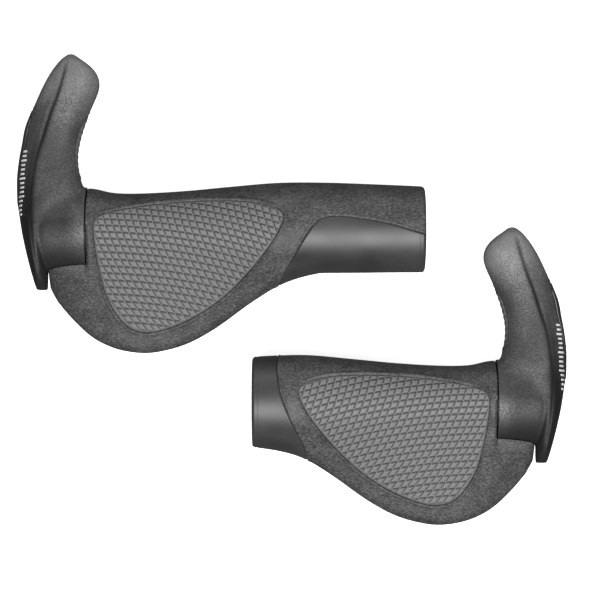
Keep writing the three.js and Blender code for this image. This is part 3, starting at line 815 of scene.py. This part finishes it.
def finger_pad(hand, form):
    step = 0.3
    skin = Skin(form, 10.5, 69.5, step, 0.55, 0.97, across=step)
    s, y = skin.plan
    distance = outline_distance(FINGER_OUTLINE, s, y)
    inside = (distance < 0.1) & ~on_top(skin.points)
    border = ramp(-0.3, -1.4, distance)
    rim = ramp(-0.15, -0.6, distance)
    ribs = 0.5 + 0.5 * np.cos(2 * np.pi * (s + 0.06 * y**2) / 3.2)
    height = mix(0.6, 0.25 + 0.75 * ramp(0.15, 0.75, ribs), border) * rim
    top = skin.offset(-0.7 + 0.3 * rim + 0.45 * (height - 0.3) * rim)
    bottom = skin.offset(np.full(s.shape, -1.25))
    # These heights also set the painted shade in the ribs' grooves and at the pad's border.
    mesh = high_slab(f"{hand}_finger_pad", top, bottom, inside, height)
    return place(hand, "finger_pad_fine", mesh, FINISH["pad_rubber"], ["finger_pad"], "grip", 60)


# ---------------------------------------------------------------- rubber body and end panel


def rim_inset(form, s):
    """How far the section draws in to round the sleeve's inner rim and the wing's outer corner."""
    rim, corner = ROUND["rim"], ROUND["corner"]
    to_rim = np.clip(form.length - s, 0, rim)
    to_corner = np.clip(s + 15, 0, corner)
    inset = rim - np.sqrt(np.maximum(rim**2 - (rim - to_rim) ** 2, 0))
    return inset + corner - np.sqrt(np.maximum(corner**2 - (corner - to_corner) ** 2, 0))


def grip_stations(form, step):
    rim, corner = ROUND["rim"], ROUND["corner"]
    turn = np.linspace(0, 1, 9)
    near = -15 + corner * (1 - np.cos(turn * np.pi / 2))
    far = form.length - rim * (1 - np.cos(turn[::-1] * np.pi / 2))
    inner = np.arange(-15 + corner + step, form.length - rim - step / 2, step)
    return np.concatenate([near, inner, far])


def grip_body(hand, form):
    skin = Skin(form, -15, form.length, 0.4, across=0.4, closed=True)
    stations = grip_stations(form, 0.4)
    skin.move_to(stations)
    s, y = skin.plan
    top = on_top(skin.points)
    offset = -rim_inset(form, s)

    palm = np.where(top, outline_distance(PALM_OUTLINE, s, y), 50)
    offset += -1.5 * ramp(0.0, -0.4, palm) + 0.3 * bump(palm, 0.45, 0.35)
    finger = np.where(top, 50, outline_distance(FINGER_OUTLINE, s, y))
    offset += -1.4 * ramp(0.0, -0.5, finger) + 0.2 * bump(finger, 0.7, 0.5)
    panel = outline_distance(seam_outline(hand), s, y)
    offset += -1.3 * ramp(-0.1, -0.5, panel) + 0.26 * bump(panel, 0.45, 0.4)

    lip = np.clip(s + FIT, 0, ROUND["lip"])
    lip_round = ROUND["lip"] - np.sqrt(np.maximum(ROUND["lip"] ** 2 - (ROUND["lip"] - lip) ** 2, 0))
    offset -= lip_round * ramp(-16.5, -13.5, y) * (s > -FIT - 0.5)
    offset += 0.7 * bump(s, -11.8, 1.3) * bump(y, -26.3, 2.2) * top
    offset -= 1.3 * ramp(-20, -14.5, y) * ramp(1.4, -0.8, s) * (y < 0) * top

    points = skin.points.copy()
    points[:, :, 1:] += skin.normals[:, :, 1:] * offset[..., None]
    bore = turned(rounded([[-form.length - 3, 0], [-form.length - 3, 14.5], [-form.length - 0.2, 14.5],
                           [-form.length + 1.0, CORE_OUTER + FIT], [RING_ROOT, CORE_OUTER + FIT],
                           [RING_ROOT, 0]], 0.3), 128)
    seat = turned([[-FIT, 0], [-FIT, RING_OUTER + SEAT_RUN], [RING_ROOT, RING_OUTER + SEAT_RUN], [RING_ROOT, 0]], 192)
    mesh = carved(loft(points), [bore, seat])
    return place(hand, "grip_body_fine", mesh, FINISH["body_rubber"], ["grip_body"], "grip", 42)


def end_panel(hand, form):
    step = 0.4
    skin = Skin(form, 70, form.length, step, across=step, closed=True)
    stations = np.concatenate([
        np.arange(70, form.length - ROUND["rim"] - step / 2, step),
        form.length - ROUND["rim"] * (1 - np.cos(np.linspace(1, 0, 9) * np.pi / 2)),
    ])
    skin.move_to(stations)
    s, y = skin.plan
    panel = outline_distance(seam_outline(hand), s, y)
    inset = rim_inset(form, s)
    edge = ramp(-0.1, -0.55, panel)
    rim_line = -0.2 * bump(s, form.length - 1.9, 0.3)
    high = skin.points.copy()
    high[:, :, 1:] += skin.normals[:, :, 1:] * (-inset - 0.5 * (1 - edge) + 0.05 * edge + rim_line)[..., None]
    low_points = skin.points.copy()
    low_points[:, :, 1:] += skin.normals[:, :, 1:] * (-inset - 1.2)[..., None]
    # the last column meets the first
    high = np.concatenate([high, high[:, :1]], 1)
    low_points = np.concatenate([low_points, low_points[:, :1]], 1)
    inside = np.concatenate([panel, panel[:, :1]], 1) < 0.05
    keep = whole_cells(inside)
    mesh = new_mesh(f"{hand}_end_panel", *thick_patch(high, low_points, keep))
    work = bmesh.new()
    work.from_mesh(mesh)
    bmesh.ops.remove_doubles(work, verts=work.verts, dist=0.002)
    work.to_mesh(mesh)
    work.free()
    return place(hand, "end_panel_fine", mesh, FINISH["smooth_rubber"], ["end_panel"], "grip", 42)


# ---------------------------------------------------------------- the bar end

HORN_OUTER = [[-23.6, 19.8], [-20, 20.9], [-14, 22.5], [-8, 24], [0, 25.7], [9, 26.9], [19, 26.9],
              [26.5, 26.1], [32.3, 25], [38.2, 23.8], [43.9, 21.5], [49.7, 18.9], [55.5, 15.9],
              [61, 12.3], [64, 9.7], [66.2, 7]]
HORN_INNER = [[-23.6, 15.4], [-6, 15.4], [4, 12], [10, 5], [14.6, 1], [17.5, 2.2], [23.5, 3.6], [29.4, 3.7],
              [35.2, 2.5], [41, 0.5], [46.6, -2.1], [52.3, -4.8], [55.2, -5.4], [58, -4.7],
              [61, -2.7], [64.1, 1.7], [66.2, 4.6]]
HORN_TOP = [[-23.6, 2.6], [-20, 9], [-16, 12.2], [-8, 15.4], [1, 16.6], [9, 16.6], [17, 15.4], [25, 14.6],
            [33, 14.8], [42, 17], [51.5, 20], [58, 21.4], [63, 20.2], [66.2, 16.8]]
HORN_BOTTOM = [[-23.6, -2.6], [-20, -8.8], [-16, -11.8], [-8, -15.2], [0, -AXIS_HEIGHT], [5, -16], [12, -11],
               [18, -5.5], [25, -3], [33, -1.4], [42, 0.6], [51.5, 3.6], [58, 7], [63, 10.6], [66.2, 14]]
HORN_CREASE = [[-20.7, 16.4], [-16, 18.2], [-10, 19.6], [0, 20.8], [11, 21.2], [19, 20.4], [27, 19],
               [35.2, 16.5], [42.5, 14], [49.7, 11], [57.5, 8.3], [63, 7]]
HORN_PAD_SPAN = (20, 44)
HORN_PAD_HALF = 5.4
HORN_PAD_DROP = 2.2
BADGE_SPAN = (8, 46)
BADGE_HALF = 4.4

horn_outer, horn_inner = through(HORN_OUTER), through(HORN_INNER)
horn_top, horn_bottom = through(HORN_TOP), through(HORN_BOTTOM)
horn_crease = through(HORN_CREASE)


def horn_stations(step=0.7):
    turn = np.linspace(0, 1, 10)
    first, last = -23.6, 66.2
    near = first + 1.5 * (1 - np.cos(turn * np.pi / 2))
    far = last - 1.5 * (1 - np.cos(turn[::-1] * np.pi / 2))
    return np.concatenate([near, np.arange(first + 2, last - 1.6, step), far])


def horn_surface(y, angle, growth=0.0):
    """Points of the horn's skin at stations y and angles round them."""
    inner, outer, top, bottom = horn_inner(y), horn_outer(y), horn_top(y), horn_bottom(y)
    exponent = 2.35
    power = lambda v: np.sign(v) * np.abs(v) ** (2 / exponent)
    half_x = (outer - inner) / 2 + growth
    half_z = (top - bottom) / 2 + growth
    x = (outer + inner) / 2 + half_x * power(np.cos(angle))
    z = (top + bottom) / 2 + half_z * power(np.sin(angle))
    return np.stack([x, np.broadcast_to(y, x.shape), z], -1)


def horn_body():
    stations = horn_stations()
    angles = np.linspace(0, 2 * np.pi, 128, endpoint=False)
    rings = horn_surface(stations[:, None], angles[None, :])
    spacing = 0.75
    even = np.arange(stations[0], stations[-1], spacing)
    rings_even = horn_surface(even[:, None], angles[None, :])
    smooth_part = softened(rings_even, spacing, 1.6)
    where = np.clip((stations - even[0]) / spacing, 0, len(even) - 1.001)
    low = where.astype(int)
    t = (where - low)[:, None, None]
    eased = smooth_part[low] * (1 - t) + smooth_part[low + 1] * t
    near_end = np.minimum(stations - stations[0], stations[-1] - stations)[:, None, None]
    keep = ramp(1.5, 5.0, near_end)
    mixed = rings * (1 - keep) + eased * keep
    mixed[:, :, 1] = rings[:, :, 1]
    return loft(mixed)


def along_bolt(profile, segments=64, closed=False):
    """A profile of (z, radius) pairs turned about the clamp bolt's axis, z out of its head."""
    points, faces = turned(profile, segments, closed)
    out = np.array([0, math.sin(SLIT_ANGLE), -math.cos(SLIT_ANGLE)])
    side = np.array([1.0, 0, 0])
    third = np.cross(out, side)
    origin = np.array([BOLT_X, BOLT_DISTANCE * math.cos(SLIT_ANGLE), BOLT_DISTANCE * math.sin(SLIT_ANGLE)])
    moved = origin + points[:, 0:1] * out + points[:, 1:2] * side + points[:, 2:3] * third
    return moved, faces


def turned_by(shape, angle):
    """A shape turned about the bar's axis."""
    points, faces = shape
    c, s = math.cos(angle), math.sin(angle)
    y, z = points[:, 1] * c - points[:, 2] * s, points[:, 1] * s + points[:, 2] * c
    return np.stack([points[:, 0], y, z], -1), faces


def wedge(x0, x1, start, stop, inner, outer, sides=40):
    """Part of a thick disc about the bar's axis, between two angles."""
    angles = np.linspace(start, stop, sides)
    rings = []
    for angle in angles:
        c, s = math.cos(angle), math.sin(angle)
        rings.append([[x0, inner * c, inner * s], [x1, inner * c, inner * s], [x1, outer * c, outer * s],
                      [x0, outer * c, outer * s]])
    return loft(np.array(rings, float))


def oval(span, half, drop=0.0, sides=24):
    low, high = span
    middle = lambda y: float(horn_top(y) + horn_bottom(y)) / 2 - drop
    points = []
    for at, turn in ((high - half, -0.5), (low + half, 0.5)):
        for i in range(sides + 1):
            angle = (turn + i / sides) * math.pi
            points.append([at + half * math.cos(angle), middle(at) + half * math.sin(angle)])
    return np.array(points)


def ease_weld(mesh):
    """Smooths the valley between the clamp ring and the horn, on top."""
    work = bmesh.new()
    work.from_mesh(mesh)
    near = [v for v in work.verts if 3.5 < v.co.x < 21 and 1 < v.co.y < 24 and v.co.z > 7]
    for _ in range(60):
        bmesh.ops.smooth_vert(work, verts=near, factor=0.5, use_axis_x=True, use_axis_y=True, use_axis_z=True)
    work.to_mesh(mesh)
    work.free()


def bar_end(hand):
    ring = turned(rounded([[-2, 0], [-2, RING_OUTER + 0.15], [17.5, RING_OUTER + 0.15], [22.5, 12.5], [23.6, 6],
                           [23.6, 0]], 2.5, 8), 160)
    ear = along_bolt(rounded([[-4, 0], [-4, EAR_RADIUS], [EAR_DEPTH + 0.2, EAR_RADIUS], [EAR_DEPTH + 0.2, 0]], 0.6))
    web = along_bolt([[-9.5, 0], [-9.5, INSERT_RADIUS + 2.2], [0, INSERT_RADIUS + 2.2], [0, 0]])
    mesh = melted([horn_body(), ring, ear, web], 0.42, 14)
    ease_weld(mesh)

    points, normals = points_of(mesh), normals_of(mesh)
    x, y, z = points.T
    facing_up = ramp(0.05, 0.45, normals[:, 2])
    slope = 1 / np.sqrt(1 + np.gradient(horn_crease(np.linspace(-20, 65, 86)), 1.0)[
        np.clip((y + 20).astype(int), 0, 85)] ** 2)
    aside = (x - horn_crease(np.clip(y, -20.7, 65))) * slope
    along = ramp(-20.5, -15, y) * ramp(65.5, 57, y)
    sharp = ramp(20, 42, y)
    groove = bump(aside, 0.0, 0.8) * mix(0.35, 0.7, sharp) + 0.5 * bump(aside, 1.4, 1.9) * ramp(60, 40, y)
    push = -0.85 * groove * facing_up * along
    # Painted shade in the crease beside the spine, where the groove is pressed in on top.
    painted_shade_and_light = 0.8 * np.clip(groove * facing_up * along, 0, 1)

    pad = outline_distance(oval(HORN_PAD_SPAN, HORN_PAD_HALF, HORN_PAD_DROP), y, z)
    inward = ramp(0.1, 0.5, -normals[:, 0]) * (x < 9)
    push += inward * (-0.9 * ramp(0.35, -0.1, pad) + 0.15 * bump(pad, 0.9, 0.5))
    # Painted shade along the border of the inner pad's recess.
    painted_shade_and_light = np.maximum(painted_shade_and_light, inward * bump(pad, 0.1, 0.35))
    badge = outline_distance(oval(BADGE_SPAN, BADGE_HALF), y, z)
    outward = ramp(0.1, 0.5, normals[:, 0]) * (x > 15)
    push += outward * (-0.9 * ramp(0.35, -0.1, badge) + 0.15 * bump(badge, 0.9, 0.5))
    # Painted shade along the border of the outer badge's recess.
    painted_shade_and_light = np.maximum(painted_shade_and_light, outward * bump(badge, 0.1, 0.35))
    set_points(mesh, points + normals * push[:, None])
    # Painted light and shade by place on the part: painted highlights at the tip and beside the gap, painted shade at
    # the root and along the spine.
    painted_lightness = np.interp(y, [-14, -4, 4, 12, 20, 28, 36, 44, 52, 60],
                     [-0.3, -0.3, -0.1, 0.04, 0.03, 0.0, -0.07, 0.04, 0.17, 0.27])
    painted_lightness = mix(painted_lightness, 0.1, ramp(9, 2, x) * bump(y, -3, 8))
    painted_lightness -= 0.16 * ramp(18.5, 21, x) * ramp(30, 10, y)
    # The painted shade and the painted light go into one attribute that darkens or lightens the bar end's colour.
    add_attribute(mesh, "painted_shade_and_light", painted_shade_and_light - 2 * painted_lightness)

    half = SLIT_WIDTH / 2
    reach = BOLT_DISTANCE + EAR_RADIUS + 4
    insert_end = -half - INSERT_LENGTH - FIT
    cutters = [
        block(-6, RUN, -40, 40, -40, 40),
        turned(rounded([[-4, 0], [-4, RING_INNER + 0.8], [RUN, RING_INNER + 0.8], [RUN + 0.9, RING_INNER],
                        [RING_END, RING_INNER], [RING_END, 0]], 0.2), 128),
        turned([[RING_END - 1, 0], [RING_END - 1, CORE_RADIUS], [RING_END + BAR_POCKET, CORE_RADIUS],
                [RING_END + BAR_POCKET, 0]], 128),
        wedge(RING_END - 0.01, RING_END + RELIEF_WIDTH, SLIT_ANGLE, -math.pi - SLIT_ANGLE * 1.5, RING_INNER - 1, 30),
        turned_by(block(-1, RING_END, 5, reach, -half, half), SLIT_ANGLE),
        along_bolt([[EAR_DEPTH, 0], [EAR_DEPTH, EAR_RADIUS + FIT], [EAR_DEPTH + 9, EAR_RADIUS + FIT],
                    [EAR_DEPTH + 9, 0]]),
        along_bolt([[-half - 1, 0], [-half - 1, BOLT_HOLE_RADIUS], [EAR_DEPTH + 1, BOLT_HOLE_RADIUS],
                    [EAR_DEPTH + 1, 0]]),
        along_bolt([[insert_end - 1.5, 0], [insert_end - 1.5, BOLT_HOLE_RADIUS], [insert_end, BOLT_HOLE_RADIUS],
                    [insert_end, INSERT_RADIUS + FIT], [0, INSERT_RADIUS + FIT], [0, 0]]),
    ]
    mesh = carved(mesh, cutters)
    return place(hand, "bar_end_fine", mesh, FINISH["bar_end_composite"], ["bar_end"], "bar_end_assembly",
                 42)


def horn_patch(hand, name, span, half, drop, towards, growth, thickness, finish, node, shape_height):
    """A slab that follows the horn's skin inside an oval on its inner or outer side."""
    step = 0.25
    y = np.arange(span[0] - 1, span[1] + 1, step)
    angle = np.linspace(towards - 1.25, towards + 1.25, 120)
    skin = horn_surface(y[:, None], angle[None, :])
    normals = grid_normals(skin, False)
    direction = math.cos(towards)
    if (normals[:, :, 0] * direction).sum() < 0:
        normals *= -1
    distance = outline_distance(oval(span, half, drop), skin[:, :, 1], skin[:, :, 2])
    inside = distance < -0.02
    rim = ramp(0.0, -0.9, distance)
    extra = shape_height(skin[:, :, 1], skin[:, :, 2], distance)
    rise = growth * (0.1 + 0.9 * rim) - 0.45 * (1 - ramp(0.0, -0.35, distance)) + extra * rim
    top = skin + normals * rise[..., None]
    bottom = skin + normals * (growth - thickness)
    # For the pad rubber, these heights become painted shade in the ribs' grooves and at the border.
    mesh = high_slab(f"{hand}_{name}", top, bottom, inside, (0.5 + extra * 1.6) * rim)
    return place(hand, f"{name}_fine", mesh, FINISH[finish], [node], "bar_end_assembly", 55)


def bar_end_inlays(hand):
    ribs = lambda y, z, d: 0.14 * ramp(0.1, 0.7, 0.5 + 0.5 * np.cos(2 * np.pi * (y + 0.25 * z) / 2.4)) - 0.1
    horn_patch(hand, "bar_end_pad", HORN_PAD_SPAN, HORN_PAD_HALF, HORN_PAD_DROP, math.pi, 0.3, 1.15, "pad_rubber",
               "bar_end_pad", ribs)
    plain = lambda y, z, d: np.zeros(y.shape)
    horn_patch(hand, "bar_end_badge", BADGE_SPAN, BADGE_HALF, 0, 0.0, 0.3, 1.15, "badge_plastic", "bar_end_badge",
               plain)
    ticks(hand)


def ticks(hand):
    """Plain pale marks along the upper edge of the outer inlay."""
    marks = []
    for k in range(15):
        y0 = 4.0 + k * 1.75
        height = 1.5 if k % 4 == 0 else 0.95
        marks.append((y0, y0 + 0.75, height))
    shapes = []
    for y0, y1, height in marks:
        y = np.linspace(y0, y1, 5)
        centre = np.interp(np.mean(y), [2, 30], [0.68, 0.74])
        angle = np.linspace(centre - 0.1 * height, centre + 0.1 * height, 9)
        skin = horn_surface(y[:, None], angle[None, :])
        normals = grid_normals(skin, False)
        if normals[:, :, 0].sum() < 0:
            normals *= -1
        keep = np.ones((len(y) - 1, len(angle) - 1), bool)
        shapes.append(thick_patch(skin + normals * 0.42, skin + normals * 0.1, keep))
    place(hand, "tick_marks", joined(shapes), FINISH["tick_paint"], [], "bar_end_assembly", 30)


# ---------------------------------------------------------------- bolt and washer


def clamp_washer(hand):
    near = EAR_DEPTH + FIT
    far = near + WASHER_THICKNESS
    corners = [[near, BOLT_HOLE_RADIUS], [near, WASHER_RADIUS], [far, WASHER_RADIUS], [far, BOLT_HOLE_RADIUS]]
    profile = rounded([corners[-1]] + corners + [corners[0]], 0.15, 3)[1:-1]
    shape = along_bolt(profile, 96, closed=True)
    return place(hand, "clamp_washer_fine", shape, FINISH["bolt_steel"], ["clamp_washer"], "washer")


def clamp_bolt(hand):
    seat = EAR_DEPTH + WASHER_THICKNESS + 2 * FIT
    face = seat + BOLT_HEAD_HEIGHT
    thread = []
    z = -BOLT_REACH + 0.6
    while z < seat - 1.2:
        thread += [[z, BOLT_RADIUS], [z + 0.35, BOLT_RADIUS - 0.35]]
        z += 0.8
    profile = [[-BOLT_REACH, 0], [-BOLT_REACH, BOLT_RADIUS - 0.55], *thread, [seat - 0.8, BOLT_RADIUS],
               [seat, BOLT_RADIUS]]
    head = rounded([[seat, BOLT_RADIUS], [seat, BOLT_HEAD_RADIUS], [face, BOLT_HEAD_RADIUS], [face, 0]], 0.5, 5)[1:]
    points, faces = along_bolt(profile + [list(p) for p in head], 96)
    hexagon = along_bolt([[face - HEX_DEPTH, 0], [face - HEX_DEPTH, HEX_RADIUS], [face + 1, HEX_RADIUS],
                          [face + 1, 0]], 6)
    mesh = carved((points, faces), [hexagon])
    return place(hand, "clamp_bolt_fine", mesh, FINISH["bolt_steel"], ["clamp_bolt"], "bolt", 32)


# ---------------------------------------------------------------- everything

for hand in HANDS:
    form = Form(hand)
    grip_body(hand, form)
    palm_pad(hand, form)
    finger_pad(hand, form)
    end_panel(hand, form)
    bar_end(hand)
    bar_end_inlays(hand)
    clamp_washer(hand)
    clamp_bolt(hand)
    for node, finish in (("grip_core", "core_plastic"), ("clamp_insert", "insert_brass")):
        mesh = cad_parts[f"{hand}_{node}"].data
        mesh.materials.clear()
        mesh.materials.append(FINISH[finish])


# ---------------------------------------------------------------- stage, light and camera


def floor():
    mesh = bpy.data.meshes.new("floor")
    size = 3.0
    mesh.from_pydata([(-size, -size, -0.0005), (size, -size, -0.0005), (size, size, -0.0005), (-size, size, -0.0005)],
                     [], [(0, 1, 2, 3)])
    material = bpy.data.materials.new("floor")
    material.use_nodes = True
    tree = material.node_tree
    main = tree.nodes["Principled BSDF"]
    main.inputs["Base Color"].default_value = (0.9, 0.9, 0.9, 1)
    main.inputs["Roughness"].default_value = 0.9
    main.inputs["Emission Color"].default_value = (1, 1, 1, 1)
    main.inputs["Emission Strength"].default_value = 0.86
    mesh.materials.append(material)
    obj = bpy.data.objects.new("floor", mesh)
    obj.visible_diffuse = False  # no light bounces off it, so the object's flanks stay dark
    obj.visible_glossy = False
    bpy.context.scene.collection.objects.link(obj)


def area_light(name, place_m, towards_m, size, power):
    data = bpy.data.lights.new(name, "AREA")
    data.shape = "RECTANGLE"
    data.size, data.size_y = size
    data.energy = power
    obj = bpy.data.objects.new(name, data)
    obj.location = place_m
    obj.rotation_euler = (Vector(towards_m) - Vector(place_m)).to_track_quat("-Z", "Y").to_euler()
    bpy.context.scene.collection.objects.link(obj)


SOFTBOX_WATTS = 7.0
BACK_STRIP_WATTS = 1.5
SKY_STRENGTH = 0.15

floor()
area_light("softbox", (0.05, -0.31, 0.62), (0, 0, 0.01), (0.6, 0.36), SOFTBOX_WATTS)
area_light("back_strip", (0.0, 0.55, 0.35), (0, 0.02, 0.02), (0.9, 0.12), BACK_STRIP_WATTS)

world = bpy.data.worlds.new("studio")
world.use_nodes = True
world.node_tree.nodes["Background"].inputs["Color"].default_value = (1, 1, 1, 1)
world.node_tree.nodes["Background"].inputs["Strength"].default_value = SKY_STRENGTH
bpy.context.scene.world = world
bpy.context.scene.view_settings.view_transform = "Standard"

CAMERA_TILT = 5.0  # degrees off straight down, towards -Y
CAMERA_DISTANCE = 1.0
CAMERA_LENS = 155
TARGET = Vector((0.0035, -0.0037, 0.020))

camera_data = bpy.data.cameras.new("camera")
camera_data.sensor_width = 36
camera_data.lens = CAMERA_LENS
camera = bpy.data.objects.new("camera", camera_data)
tilt = math.radians(CAMERA_TILT)
camera.location = TARGET + CAMERA_DISTANCE * Vector((0, -math.sin(tilt), math.cos(tilt)))
camera.rotation_euler = (tilt, 0, 0)
camera_data.clip_start = 0.01
bpy.context.scene.collection.objects.link(camera)
bpy.context.scene.camera = camera
